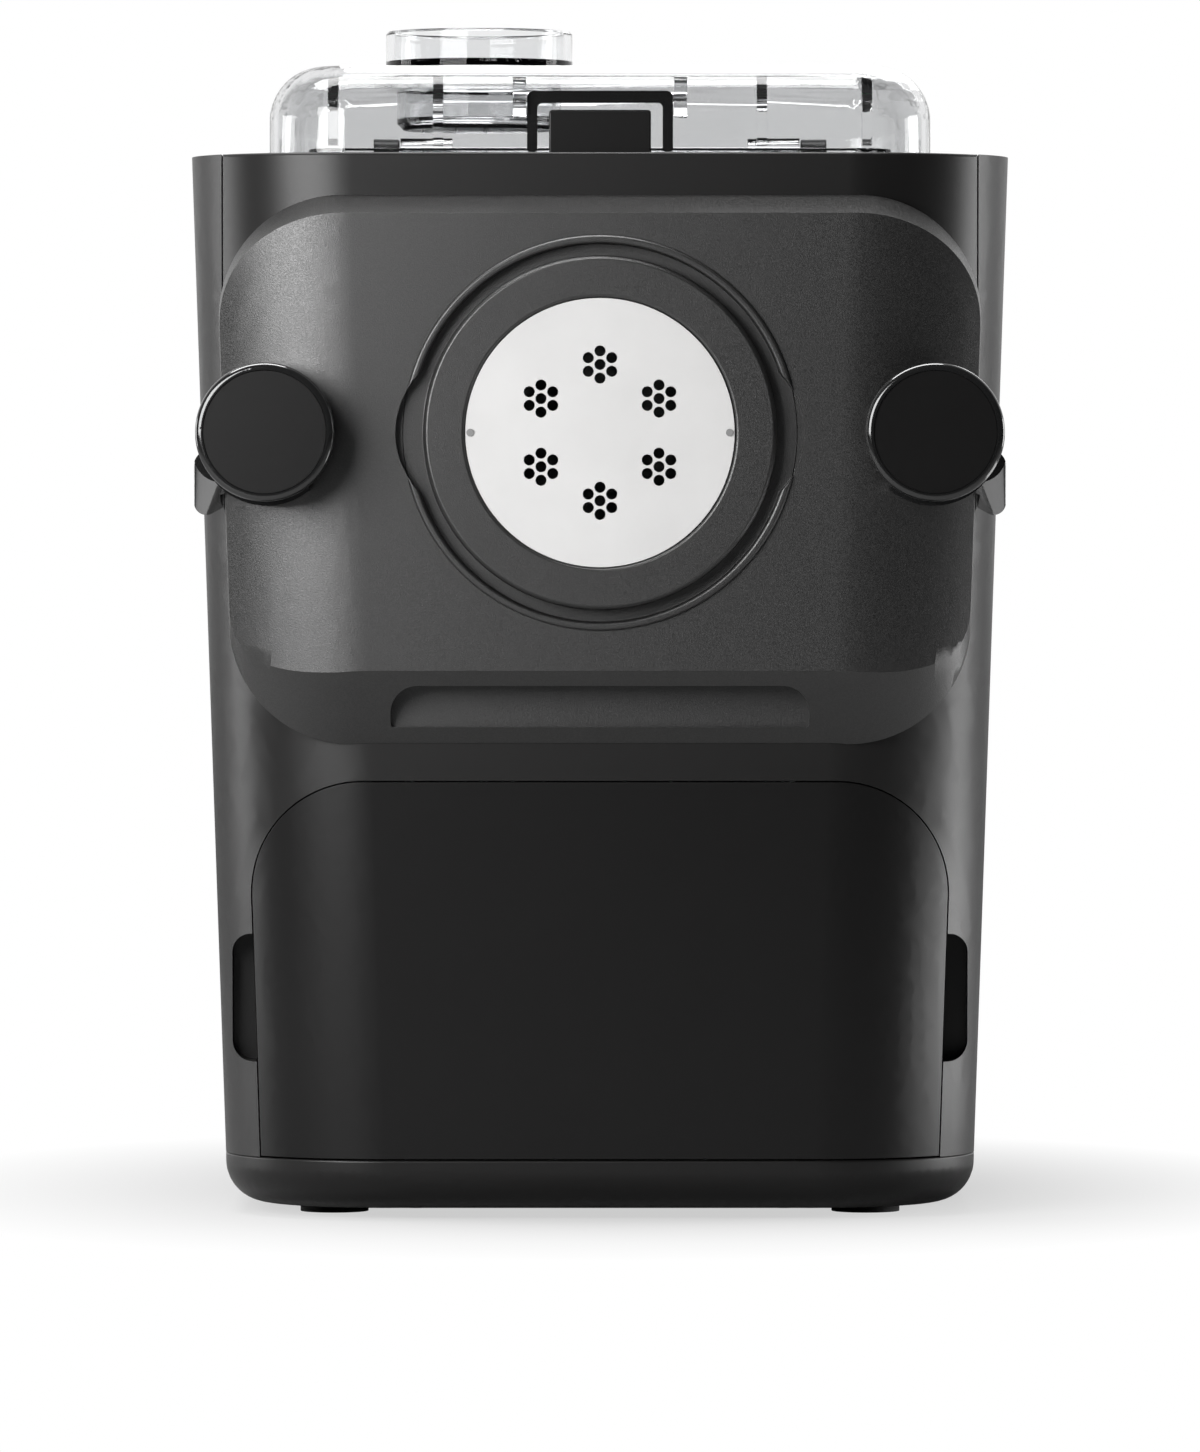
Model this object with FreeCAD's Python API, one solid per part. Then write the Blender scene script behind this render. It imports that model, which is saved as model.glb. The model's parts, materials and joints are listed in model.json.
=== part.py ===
import FreeCAD, Part
import math
import os

from FreeCAD import Vector

os.makedirs("parts", exist_ok=True)

# Driving dimensions, in millimetres
# X points to the right, the front faces -Y, Z is up, and Z = 0 is the table

# Body
overall_depth = 380.0
body_top = 309.4
base_seam = 17.5
foot_height = 3.0
top_half_width = 120.0
bottom_half_width = 110.0
front_corner_radius = 48.0
rear_corner_radius = 22.0
shell_wall = 2.5
deck_wall = 3.0
base_edge_radius = 12.0
seam_gap = 0.4
apron_inset = 9.7
apron_drop = 28.0
face_gap = 0.3
frame_rear_inset = 12.0
deck_hole_side_gap = 3.0
deck_hole_end_gap = 2.0
deck_hole_radius = 1.8
ledge_front_inset = 55.0
ledge_rear_inset = 25.0
ledge_thickness = 2.0
ledge_overlap = 5.0
foot_radius = 10.0
foot_half_spacing = 78.0
foot_inset_front = 46.0
foot_inset_rear = 40.0
base_screw_inset = 24.0
screw_radius = 2.5
screw_head_radius = 4.5
screw_head_height = 2.0

# Front panel
panel_proud = 18.0
panel_wall = 2.6
panel_side_inset = 8.0
panel_bottom = 138.0
panel_top = 297.0
panel_corner_radius = 35.4
panel_top_bevel = 5.7
panel_bottom_bevel = 21.5
panel_side_bevel = 1.3
panel_wrap = 2.0
grip_half_width = 60.5
grip_bottom = 143.0
grip_top = 155.1
grip_corner_radius = 8.0
grip_back_wall = 2.2

# Extruder
axis_height = 228.0
disc_radius = 38.7
disc_thickness = 8.0
disc_hole_radius = 1.6
disc_hole_pitch = 3.9
disc_cluster_radius = 19.6
disc_cluster_count = 6
disc_pin_radius = 1.1
disc_pin_wall = 0.3
bezel_ring_radius = 50.9
bezel_outer_radius = 56.9
bezel_ridge_width = 2.4
bezel_ring_proud = 2.0
bezel_ridge_proud = 1.4
bezel_groove_depth = 4.0
disc_recess = 0.6
bezel_scoop_radius = 24.0
bezel_scoop_reach = 58.9
barrel_bore_radius = 36.0
barrel_wall = 4.0
barrel_length = 56.0
barrel_flange_thickness = 3.0
seal_thickness = 3.4
seal_width = 4.0
flange_overlap = 1.0
running_gap = 0.7

# Clamps and knobs
knob_height = 22.0
knob_side_inset = 21.4
knob_radius = 19.9
knob_edge_radius = 4.0
knob_cap_radius = 17.5
knob_cap_thickness = 2.0
knob_stem_radius = 5.0
clamp_radius = 19.4
clamp_drop = 1.6
clamp_flat_inset = 33.8
clamp_body_depth = 16.0
clamp_front_gap = 5.0
clamp_hinge_inset = 37.7
clamp_hinge_depth = 1.8
clamp_knuckle_radius = 2.4
clamp_knuckle_half_height = 4.0
clamp_ear_height = 2.6
clamp_pin_radius = 1.3
tail_front_inset = 0.5
tail_rear_proud = 1.2
tail_top_drop = 5.7
tail_bottom_drop = 26.0
tail_length = 47.0
tail_drop = 5.5
arm_root = 6.0
arm_root_rise = 3.0
arm_root_radius = 2.0
arm_slant = 9.0
arm_top_radius = 5.0
arm_front_radius = 8.0
arm_tip_radius = 3.5
pin_fit = 0.06

# Drawer
drawer_top = 127.4
drawer_side_inset = 11.0
drawer_corner_radius = 33.0
drawer_front_wall = 3.0
drawer_back_gap = 1.0
drawer_tray_inset = 22.0
drawer_rear_space = 27.0
tray_lift = 2.5
drawer_tray_top = 104.0
drawer_tray_wall = 2.0
runner_half_spacing = 70.0
runner_width = 4.0
runner_setback = 18.0
scoop_bottom = 45.2
scoop_top = 82.4
scoop_setback = 15.0
scoop_width = 6.8
scoop_depth = 22.0
scoop_wall = 2.2

# Mixing chamber
chamber_radius = 75.0
chamber_wall = 2.0
chamber_front_space = 30.0
chamber_to_controls = 52.0
chamber_flange = 7.0
chamber_flange_thickness = 2.0
chamber_flange_side = 10.0
chamber_flange_radius = 10.0
outlet_fit = 0.4
chamber_seal_lip = 2.0
chamber_seal_proud = 3.0

# Lid
lid_side_inset = 23.0
lid_height = 26.1
lid_front_inset = 18.0
lid_rear_overlap = 26.0
lid_plan_radius = 25.0
lid_edge_radius = 16.0
lid_wall = 2.4
lid_seat_gap = 0.5
rib_thickness = 3.0
rib_length = 9.0
rib_drop = 21.5
rib_places = (47.2, 77.6)
hinge_pin_radius = 2.5
hinge_knuckle_radius = 5.0
hinge_pin_rise = 6.5
hinge_pin_setback = 8.0
hinge_pin_half_length = 70.0
hinge_bracket_width = 8.0
hinge_knuckle_width = 16.0
cup_x = -36.3
cup_y = -38.0
cup_radius = 28.0
cup_rise = 13.5
cup_seat_depth = 16.0
cup_wall = 2.4
cup_neck_step = 3.4

# Lid latch
latch_half_width = 21.2
latch_height = 17.7
latch_bar = 3.5
latch_leg = 3.0
latch_thickness = 5.0
latch_lid_gap = 2.5
latch_pin_radius = 1.4
latch_ear_width = 3.8
latch_ear_height = 11.8
latch_ear_depth = 10.0
catch_half_width = 14.8
catch_height = 12.7

# Drive train
shaft_radius = 8.0
rod_radius = 7.0
rod_boss_radius = 12.0
paddle_radius = 4.5
paddle_reach = 70.0
paddle_tilt = 25.0
paddle_count = 4
first_paddle = 16.0
last_paddle = 30.0
rod_boss_front = 20.0
rod_boss_rear = 4.0
shaft_socket_depth = 16.0
screw_socket_depth = 12.0
screw_reach = 6.0
screw_core_radius = 13.0
screw_pitch = 18.0
screw_flight_thickness = 4.0
plate_thickness = 3.0
plate_half_width = 60.0
plate_top = 286.0
plate_pillar_inset = 12.0
plate_pillar_bottom = 60.0
gearbox_front = 10.0
gearbox_depth = 36.0
pillar_radius = 4.0
pillar_core_radius = 2.5
shaft_end = 2.0
motor_shaft_space = 3.0
pillar_half_spacing = 52.0
output_teeth = 60
idler_pinion_teeth = 18
idler_gear_teeth = 54
motor_pinion_teeth = 18
output_module = 1.5
motor_module = 1.0
output_gear_inset = 7.0
gear_space = 3.0
output_gear_width = 8.0
motor_gear_width = 7.0
gear_axis_play = 0.12
tooth_backlash = 0.16
pressure_angle = 20.0
idler_shaft_radius = 4.0
motor_shaft_radius = 4.0
motor_radius = 38.0
motor_rear_space = 34.0
motor_wall = 14.0
motor_boss_radius = 20.0
motor_boss_length = 3.0
motor_end_wall = 6.0
rotor_end_space = 10.0
shaft_tail = 4.0
rotor_radius = 22.0
bush_wall = 4.0

# Controls
control_side_inset = 28.0
control_length = 100.0
control_rear_inset = 18.0
control_thickness = 2.0
control_ledge = 12.0
control_hole_length = 76.0
control_corner_radius = 10.0
button_radius = 9.0
button_spacing = 34.0
button_inset = 28.0
button_rise = 1.6
button_travel = 1.2
button_gap = 0.3
button_collar = 1.6
lens_half_width = 30.0
lens_length = 26.0
lens_thickness = 1.5
lens_proud = 0.3
lens_inset = 12.0
lens_corner_radius = 3.0
lens_fit = 0.1
board_drop = 17.0
board_thickness = 1.6
board_side_inset = 16.0
board_length = 70.0
board_front = 18.0
post_radius = 3.0
post_side_inset = 6.0
post_front = 10.0
post_rear = 4.0
button_edge_radius = 0.9
button_collar_proud = 2.0
button_stem_radius = 3.0
switch_size = 6.0
switch_height = 1.6

# Rear
rear_opening_inset = 30.0
rear_opening_bottom = 40.0
rear_opening_top = 288.0
rear_flange = 6.0
rear_flange_thickness = 2.0
rear_screw_inset = 10.0
rear_screw_length = 9.0
vent_count = 9
vent_half_length = 42.0
vent_height = 4.0
vent_corner_radius = 1.9
vent_pitch = 9.0
vent_bottom = 190.0
inlet_half_width = 14.0
inlet_half_height = 10.0
inlet_depth = 20.0
inlet_wall = 2.0
inlet_height = 70.0
inlet_x = 55.0
inlet_pin_spacing = 7.0
inlet_pin_offset = 2.0
inlet_pin_half_width = 1.0
inlet_pin_half_height = 2.0
inlet_pin_setback = 5.0
inlet_pin_tail = 6.0

# Places that follow from the sizes above
front_plane = -overall_depth / 2 + knob_height + panel_proud
rear_plane = overall_depth / 2
panel_face = front_plane - panel_proud
clamp_face = panel_face - clamp_front_gap
control_y = rear_plane - control_rear_inset - control_length / 2
chamber_front = front_plane + chamber_front_space
chamber_rear = control_y - control_length / 2 - chamber_to_controls
control_half_width = top_half_width - control_side_inset
control_hole_half_width = control_half_width - control_ledge
board_half_width = control_half_width - board_side_inset
rear_opening_half_width = bottom_half_width - rear_opening_inset
far = 2 * overall_depth


def half_width(z):
    """Half the body's width at a height: the sides widen steadily upwards."""
    share = (z - base_seam) / (body_top - base_seam)
    return bottom_half_width + (top_half_width - bottom_half_width) * share


side_at_axis = half_width(axis_height)
knob_axis_x = side_at_axis - knob_side_inset
clamp_hinge_x = side_at_axis - clamp_hinge_inset
tail_top = axis_height - tail_top_drop
tail_bottom = axis_height - tail_bottom_drop
tray_bottom = base_seam + tray_lift


def rounded_wire(corners, radii, place):
    """A closed wire through corners given as (u, v), each rounded by its own radius."""
    edges = []
    first = None
    last = None
    count = len(corners)
    for index in range(count):
        corner = Vector(corners[index][0], corners[index][1], 0)
        before = Vector(corners[index - 1][0], corners[index - 1][1], 0) - corner
        after_point = corners[(index + 1) % count]
        after = Vector(after_point[0], after_point[1], 0) - corner
        before.normalize()
        after.normalize()
        radius = radii[index]
        if radius > 0:
            half_angle = before.getAngle(after) / 2
            reach = radius / math.tan(half_angle)
            bisector = before + after
            bisector.normalize()
            middle = corner + bisector * (radius / math.sin(half_angle) - radius)
            start = place(corner + before * reach)
            end = place(corner + after * reach)
            arc = Part.Arc(start, place(middle), end).toShape()
        else:
            start = place(corner)
            end = start
            arc = None
        if last is not None and last.distanceToPoint(start) > 1e-6:
            edges.append(Part.LineSegment(last, start).toShape())
        if arc is not None:
            edges.append(arc)
        if first is None:
            first = start
        last = end
    edges.append(Part.LineSegment(last, first).toShape())
    return Part.Wire(edges)


def facing_front(y):
    """Places (u, v) as x and z on the upright plane at y."""
    return lambda point: Vector(point.x, y, point.y)


def lying_at(z):
    """Places (u, v) as x and y on the level plane at z."""
    return lambda point: Vector(point.x, point.y, z)


def prism(wire, direction):
    return Part.Face(wire).extrude(direction)


def plan_wire(z, grow):
    """The body's outline seen from above at one height, grown outwards."""
    side = half_width(z) + grow
    front = front_plane - grow
    rear = rear_plane + grow
    corners = [(-side, front), (side, front), (side, rear), (-side, rear)]
    front_radius = front_corner_radius + grow
    rear_radius = rear_corner_radius + grow
    return rounded_wire(corners, [front_radius, front_radius, rear_radius, rear_radius], lying_at(z))


def tapered_block(bottom, top, grow):
    """The body's form between two heights, with its sides grown outwards."""
    return Part.makeLoft([plan_wire(bottom, grow), plan_wire(top, grow)], True, True)


def box(x0, x1, y0, y1, z0, z1):
    return Part.makeBox(x1 - x0, y1 - y0, z1 - z0, Vector(x0, y0, z0))


def plate(x0, x1, y0, y1, z0, z1, radius):
    """A level plate with rounded corners in plan."""
    corners = [(x0, y0), (x1, y0), (x1, y1), (x0, y1)]
    return prism(rounded_wire(corners, [radius] * 4, lying_at(z0)), Vector(0, 0, z1 - z0))


def rod_y(x, z, y0, y1, radius):
    """A round bar along Y."""
    return Part.makeCylinder(radius, y1 - y0, Vector(x, y0, z), Vector(0, 1, 0))


def rod_x(x0, x1, y, z, radius):
    """A round bar along X."""
    return Part.makeCylinder(radius, x1 - x0, Vector(x0, y, z), Vector(1, 0, 0))


def rod_z(x, y, z0, z1, radius):
    """A round bar along Z."""
    return Part.makeCylinder(radius, z1 - z0, Vector(x, y, z0), Vector(0, 0, 1))


def ring_y(x, z, y0, y1, inner, outer):
    return rod_y(x, z, y0, y1, outer).cut(rod_y(x, z, y0 - 1, y1 + 1, inner))


def turned_y(x, z, profile):
    """A solid turned about the Y axis through (x, z) from (radius, y) points."""
    points = [Vector(x + radius, y, z) for radius, y in profile]
    wire = Part.makePolygon(points + [points[0]])
    return Part.Face(wire).revolve(Vector(x, 0, z), Vector(0, 1, 0), 360)


def turned_z(x, y, profile):
    """A solid turned about the Z axis through (x, y) from (radius, z) points."""
    points = [Vector(x + radius, y, z) for radius, z in profile]
    wire = Part.makePolygon(points + [points[0]])
    return Part.Face(wire).revolve(Vector(x, y, 0), Vector(0, 0, 1), 360)


def joined(shapes):
    """One solid from pieces that meet."""
    return shapes[0].multiFuse(shapes[1:]).removeSplitter()


def mirrored(shape):
    return shape.mirror(Vector(0, 0, 0), Vector(1, 0, 0))


def save(shape, name):
    shape.exportStep("parts/" + name + ".step")
    print(name, len(shape.Solids), shape.isValid(), round(shape.Volume))


def front_outline(bottom, top, inset, bottom_radius, top_radius, y):
    """An outline on the front that keeps one distance from the body's sloping sides."""
    low = half_width(bottom) - inset
    high = half_width(top) - inset
    corners = [(-low, bottom), (low, bottom), (high, top), (-high, top)]
    return rounded_wire(corners, [bottom_radius, bottom_radius, top_radius, top_radius], facing_front(y))


# Drawer opening and finger scoops

def drawer_prism(gap, y0, y1):
    """The drawer's outline carried straight back, drawn in by a gap."""
    wire = front_outline(base_seam + gap, drawer_top - gap, drawer_side_inset + gap, 0,
                         drawer_corner_radius - gap, y0)
    return prism(wire, Vector(0, y1 - y0, 0))


drawer_edge = half_width((scoop_bottom + scoop_top) / 2) - drawer_side_inset
scoop_front = front_plane + scoop_setback


def scoop_block(grow, back):
    """The finger recess beside the drawer, or the wall round it."""
    corners = [(drawer_edge - scoop_width, scoop_bottom - grow), (drawer_edge + scoop_width + grow,
               scoop_bottom - grow), (drawer_edge + scoop_width + grow, scoop_top + grow),
               (drawer_edge - scoop_width, scoop_top + grow)]
    radius = scoop_width - 1 + grow
    wire = rounded_wire(corners, [0, radius, radius, 0], facing_front(front_plane - 1))
    return prism(wire, Vector(0, back - front_plane + 1, 0))


# Body shells

def body_shells():
    outside = tapered_block(base_seam, body_top, 0)
    inside = tapered_block(base_seam - 1, body_top - deck_wall, -shell_wall)
    shell = outside.cut(inside)
    scoop_back = scoop_front + scoop_depth
    keep_clear = drawer_prism(-seam_gap, front_plane - 1, scoop_back + 20)
    for side in (1, -1):
        pad = scoop_block(scoop_wall, scoop_back + scoop_wall).common(outside).cut(keep_clear)
        hollow = scoop_block(0, scoop_back)
        if side < 0:
            pad = mirrored(pad)
            hollow = mirrored(hollow)
        shell = shell.fuse(pad).cut(hollow)
    drawer_back = front_plane + front_corner_radius + drawer_back_gap
    shell = shell.cut(drawer_prism(0, front_plane - 1, drawer_back))
    barrel_hole = rod_y(0, axis_height, front_plane - 1, chamber_front - 1, bezel_outer_radius)
    shell = shell.cut(barrel_hole)

    apron_half_width = half_width(panel_top) - apron_inset
    apron_bottom = panel_top - apron_drop
    frame_rear = rear_plane - frame_rear_inset
    frame_region = box(-apron_half_width, apron_half_width, front_plane - 1, frame_rear,
                       apron_bottom, body_top + 1)
    top_frame = shell.common(frame_region)
    hole_side = chamber_radius + deck_hole_side_gap
    hole_bottom = body_top - 2 * deck_wall
    chamber_hole = plate(-hole_side, hole_side, chamber_front - deck_hole_end_gap,
                         chamber_rear + deck_hole_end_gap, hole_bottom, body_top + 1, deck_hole_radius)
    control_hole = plate(-control_hole_half_width, control_hole_half_width,
                         control_y - control_hole_length / 2, control_y + control_hole_length / 2,
                         hole_bottom, body_top + 1, control_corner_radius)
    top_frame = top_frame.cut(chamber_hole).cut(control_hole)
    ledge_out = apron_half_width + ledge_overlap
    ledge_in = apron_half_width - ledge_overlap
    ledge = box(-ledge_out, ledge_out, front_plane + ledge_front_inset, rear_plane - ledge_rear_inset,
                body_top - deck_wall - ledge_thickness, body_top - deck_wall)
    ledge = ledge.cut(box(-ledge_in, ledge_in, front_plane, rear_plane, hole_bottom, body_top))
    frame_space = box(-apron_half_width - seam_gap, apron_half_width + seam_gap, front_plane - 1,
                      frame_rear + seam_gap, apron_bottom - seam_gap, body_top + 1)
    housing = shell.cut(frame_space)

    opening = box(-rear_opening_half_width, rear_opening_half_width, rear_plane - 20,
                  rear_plane + 1, rear_opening_bottom, rear_opening_top)
    housing = housing.cut(opening)
    save(joined([housing, ledge]), "main_housing")
    save(top_frame.removeSplitter(), "top_frame")


def base():
    outside = tapered_block(foot_height, base_seam, 0)
    lowest = [edge for edge in outside.Edges if edge.BoundBox.ZMax < foot_height + 0.01]
    outside = outside.makeFillet(base_edge_radius, lowest)
    floor = foot_height + shell_wall
    inside = tapered_block(floor, base_seam + 1, -shell_wall)
    lowest = [edge for edge in inside.Edges if edge.BoundBox.ZMax < floor + 0.01]
    inside = inside.makeFillet(base_edge_radius - shell_wall, lowest)
    save(outside.cut(inside), "base_tray")

    feet = []
    screws = []
    for side in (1, -1):
        for y in (front_plane + foot_inset_front, rear_plane - foot_inset_rear):
            feet.append(rod_z(side * foot_half_spacing, y, 0, foot_height, foot_radius))
            screw_x = side * (foot_half_spacing - base_screw_inset)
            head = rod_z(screw_x, y, foot_height - screw_head_height, foot_height, screw_head_radius)
            screws.append(head)
    save(Part.makeCompound(feet), "feet")
    save(Part.makeCompound(screws), "base_screws")

    rails = []
    for side in (1, -1):
        x = side * runner_half_spacing
        rails.append(box(x - runner_width / 2, x + runner_width / 2, front_plane + runner_setback,
                         tray_rear - drawer_front_wall, floor, tray_bottom - face_gap))
    save(Part.makeCompound(rails), "drawer_runners")


def rear():
    gap = seam_gap
    inner_face = rear_plane - shell_wall
    plug = box(-rear_opening_half_width + gap, rear_opening_half_width - gap, inner_face,
               rear_plane, rear_opening_bottom + gap, rear_opening_top - gap)
    flange = box(-rear_opening_half_width - rear_flange, rear_opening_half_width + rear_flange,
                 inner_face - rear_flange_thickness, inner_face, rear_opening_bottom - rear_flange,
                 rear_opening_top + rear_flange)
    cover = joined([plug, flange])
    cover_back = inner_face - rear_flange_thickness - 1
    for row in range(vent_count):
        z = vent_bottom + row * vent_pitch
        corners = [(-vent_half_length, z), (vent_half_length, z),
                   (vent_half_length, z + vent_height), (-vent_half_length, z + vent_height)]
        wire = rounded_wire(corners, [vent_corner_radius] * 4, facing_front(cover_back))
        cover = cover.cut(prism(wire, Vector(0, rear_plane + 1 - cover_back, 0)))
    outer_half_width = inlet_half_width + inlet_wall
    outer_half_height = inlet_half_height + inlet_wall
    cover = cover.cut(box(inlet_x - outer_half_width, inlet_x + outer_half_width, cover_back,
                          rear_plane + 1, inlet_height - outer_half_height,
                          inlet_height + outer_half_height))
    screws = []
    for side in (1, -1):
        for z in (rear_opening_bottom + rear_screw_inset, rear_opening_top - rear_screw_inset):
            x = side * (rear_opening_half_width - rear_screw_inset)
            cover = cover.cut(rod_y(x, z, rear_plane - screw_head_height, rear_plane + 1,
                                    screw_head_radius + face_gap))
            cover = cover.cut(rod_y(x, z, cover_back, rear_plane + 1, screw_radius))
            head = rod_y(x, z, rear_plane - screw_head_height, rear_plane - seam_gap, screw_head_radius)
            shank = rod_y(x, z, rear_plane - rear_screw_length, rear_plane - screw_head_height, screw_radius)
            screws.append(joined([head, shank]))
    save(cover, "rear_cover")
    save(Part.makeCompound(screws), "rear_cover_screws")

    shell = box(inlet_x - outer_half_width, inlet_x + outer_half_width, rear_plane - inlet_depth - inlet_wall,
                rear_plane, inlet_height - outer_half_height, inlet_height + outer_half_height)
    hollow = box(inlet_x - inlet_half_width, inlet_x + inlet_half_width, rear_plane - inlet_depth,
                 rear_plane + 1, inlet_height - inlet_half_height, inlet_height + inlet_half_height)
    pins = []
    for step in (-1, 0, 1):
        x = inlet_x + step * inlet_pin_spacing
        z = inlet_height + (inlet_pin_offset if step == 0 else -inlet_pin_offset)
        pins.append(box(x - inlet_pin_half_width, x + inlet_pin_half_width,
                        rear_plane - inlet_depth - inlet_pin_tail, rear_plane - inlet_pin_setback,
                        z - inlet_pin_half_height, z + inlet_pin_half_height))
    shell = shell.cut(hollow).cut(Part.makeCompound(pins))
    save(shell, "power_inlet")
    save(Part.makeCompound(pins), "inlet_pins")


# Front panel with the extruder

def panel_form(inset):
    """The panel's outer form, or the same form drawn in all round by a wall."""
    start = front_plane + front_corner_radius + panel_wrap
    outer = front_outline(panel_bottom + inset, panel_top - inset, panel_side_inset + inset,
                          panel_corner_radius - inset, panel_corner_radius - inset, front_plane)
    inner = front_outline(panel_bottom + panel_bottom_bevel + inset,
                          panel_top - panel_top_bevel - inset,
                          panel_side_inset + panel_side_bevel + inset,
                          panel_corner_radius - inset, panel_corner_radius - inset,
                          panel_face + inset)
    tube = prism(outer, Vector(0, start - front_plane, 0))
    nose = Part.makeLoft([outer, inner], True, True)
    block = tapered_block(panel_bottom - 2, panel_top + 2, panel_proud - inset)
    return tube.fuse(nose).common(block)


def grip_block(grow, back):
    corners = [(-grip_half_width - grow, grip_bottom - grow), (grip_half_width + grow,
               grip_bottom - grow), (grip_half_width + grow, grip_top + grow),
               (-grip_half_width - grow, grip_top + grow)]
    top = grip_corner_radius + grow
    wire = rounded_wire(corners, [1.0, 1.0, top, top], facing_front(panel_face - 5))
    return prism(wire, Vector(0, back - panel_face + 5, 0))


def front_panel():
    form = panel_form(0)
    seat = tapered_block(panel_bottom - 10, panel_top + 10, face_gap)
    grip_back = front_plane - face_gap - grip_back_wall
    shell = form.cut(panel_form(panel_wall))
    shell = shell.fuse(grip_block(grip_back_wall, grip_back + grip_back_wall).common(form))
    boss = rod_y(0, axis_height, panel_face, bezel_back, bezel_outer_radius + panel_wall)
    shell = shell.fuse(boss.common(form))
    shell = shell.cut(seat).cut(grip_block(0, grip_back))
    shell = shell.cut(rod_y(0, axis_height, panel_face - 1, front_plane + 1, bezel_outer_radius + 0.05))
    for side in (1, -1):
        x = side * clamp_hinge_x
        for middle in (axis_height + ear_offset, axis_height - ear_offset):
            low = middle - clamp_ear_height / 2
            high = middle + clamp_ear_height / 2
            ear = rod_z(x, clamp_hinge_y, low, high, clamp_knuckle_radius)
            web = box(x - 1.6, x + 1.6, clamp_hinge_y, panel_face + 2.6, low, high)
            shell = shell.fuse(ear).fuse(web)
        reach = 2 * ear_offset
        shell = shell.cut(rod_z(x, clamp_hinge_y, axis_height - reach, axis_height + reach,
                                clamp_pin_radius))
        scoop = rod_y(side * (bezel_scoop_reach - bezel_scoop_radius), axis_height, panel_face - 1,
                      panel_face + bezel_groove_depth, bezel_scoop_radius)
        shell = shell.cut(scoop)
    save(shell.removeSplitter(), "front_panel")


disc_face = panel_face - bezel_ring_proud + disc_recess
bezel_back = disc_face + disc_thickness
ear_offset = clamp_knuckle_half_height + clamp_ear_height / 2 + face_gap
clamp_hinge_y = panel_face - clamp_hinge_depth


def extruder():
    ring_face = panel_face - bezel_ring_proud
    ridge_face = panel_face - bezel_ridge_proud
    groove_face = panel_face + bezel_groove_depth
    ridge_inner = bezel_outer_radius - bezel_ridge_width
    disc_hole = disc_radius + face_gap
    profile = [(disc_hole, bezel_back), (disc_hole, ring_face + 0.6), (disc_hole + 0.6, ring_face),
               (bezel_ring_radius - 1.0, ring_face), (bezel_ring_radius, ring_face + 1.0),
               (bezel_ring_radius, groove_face), (ridge_inner, groove_face),
               (ridge_inner, ridge_face + 0.6), (ridge_inner + 0.6, ridge_face),
               (bezel_outer_radius - 0.6, ridge_face), (bezel_outer_radius, ridge_face + 0.6),
               (bezel_outer_radius, bezel_back)]
    bezel = turned_y(0, axis_height, profile)
    for side in (1, -1):
        scoop = rod_y(side * (bezel_scoop_reach - bezel_scoop_radius), axis_height, ring_face - 1,
                      groove_face, bezel_scoop_radius)
        scoop = scoop.cut(rod_y(0, axis_height, ring_face - 2, bezel_back, bezel_ring_radius + 0.5))
        bezel = bezel.cut(scoop)
    save(bezel, "nozzle_bezel")

    disc = rod_y(0, axis_height, disc_face, disc_face + disc_thickness, disc_radius)
    holes = []
    for cluster in range(disc_cluster_count):
        angle = math.radians(90 + cluster * 360 / disc_cluster_count)
        x = disc_cluster_radius * math.cos(angle)
        z = axis_height + disc_cluster_radius * math.sin(angle)
        holes.append((x, z))
        for step in range(6):
            turn = math.radians(60 * step) + angle
            holes.append((x + disc_hole_pitch * math.cos(turn), z + disc_hole_pitch * math.sin(turn)))
    drills = [rod_y(x, z, disc_face - 1, disc_face + disc_thickness + 1, disc_hole_radius)
              for x, z in holes]
    pins = []
    for side in (1, -1):
        x = side * (disc_radius - disc_pin_radius - disc_pin_wall)
        pins.append(rod_y(x, axis_height, disc_face - 0.3, disc_face + disc_thickness - 2, disc_pin_radius))
    disc = disc.cut(Part.makeCompound(drills)).cut(Part.makeCompound(pins))
    save(disc, "pasta_disc")
    save(Part.makeCompound(pins), "disc_pins")

    barrel_end = bezel_back + barrel_length
    outer = barrel_bore_radius + barrel_wall
    tube = ring_y(0, axis_height, bezel_back, barrel_end, barrel_bore_radius, outer)
    flange = ring_y(0, axis_height, bezel_back, bezel_back + barrel_flange_thickness,
                    outer - flange_overlap, bezel_outer_radius - flange_overlap)
    save(joined([tube, flange]), "extruder_barrel")
    seal_back = chamber_front - face_gap
    save(ring_y(0, axis_height, seal_back - seal_thickness, seal_back, outer, outer + seal_width),
         "barrel_seal")


# Clamps and knobs

def arm_outline(reach, bottom, lower_radius, y):
    """The clamp's side arm seen from the front: a finger that points down and outwards."""
    inner = knob_axis_x + arm_root
    corners = [(inner, tail_top + arm_root_rise), (reach, tail_top), (reach, bottom),
               (inner, bottom + arm_slant)]
    radii = [arm_root_radius, arm_top_radius, lower_radius, arm_root_radius]
    return rounded_wire(corners, radii, facing_front(y))


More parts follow.
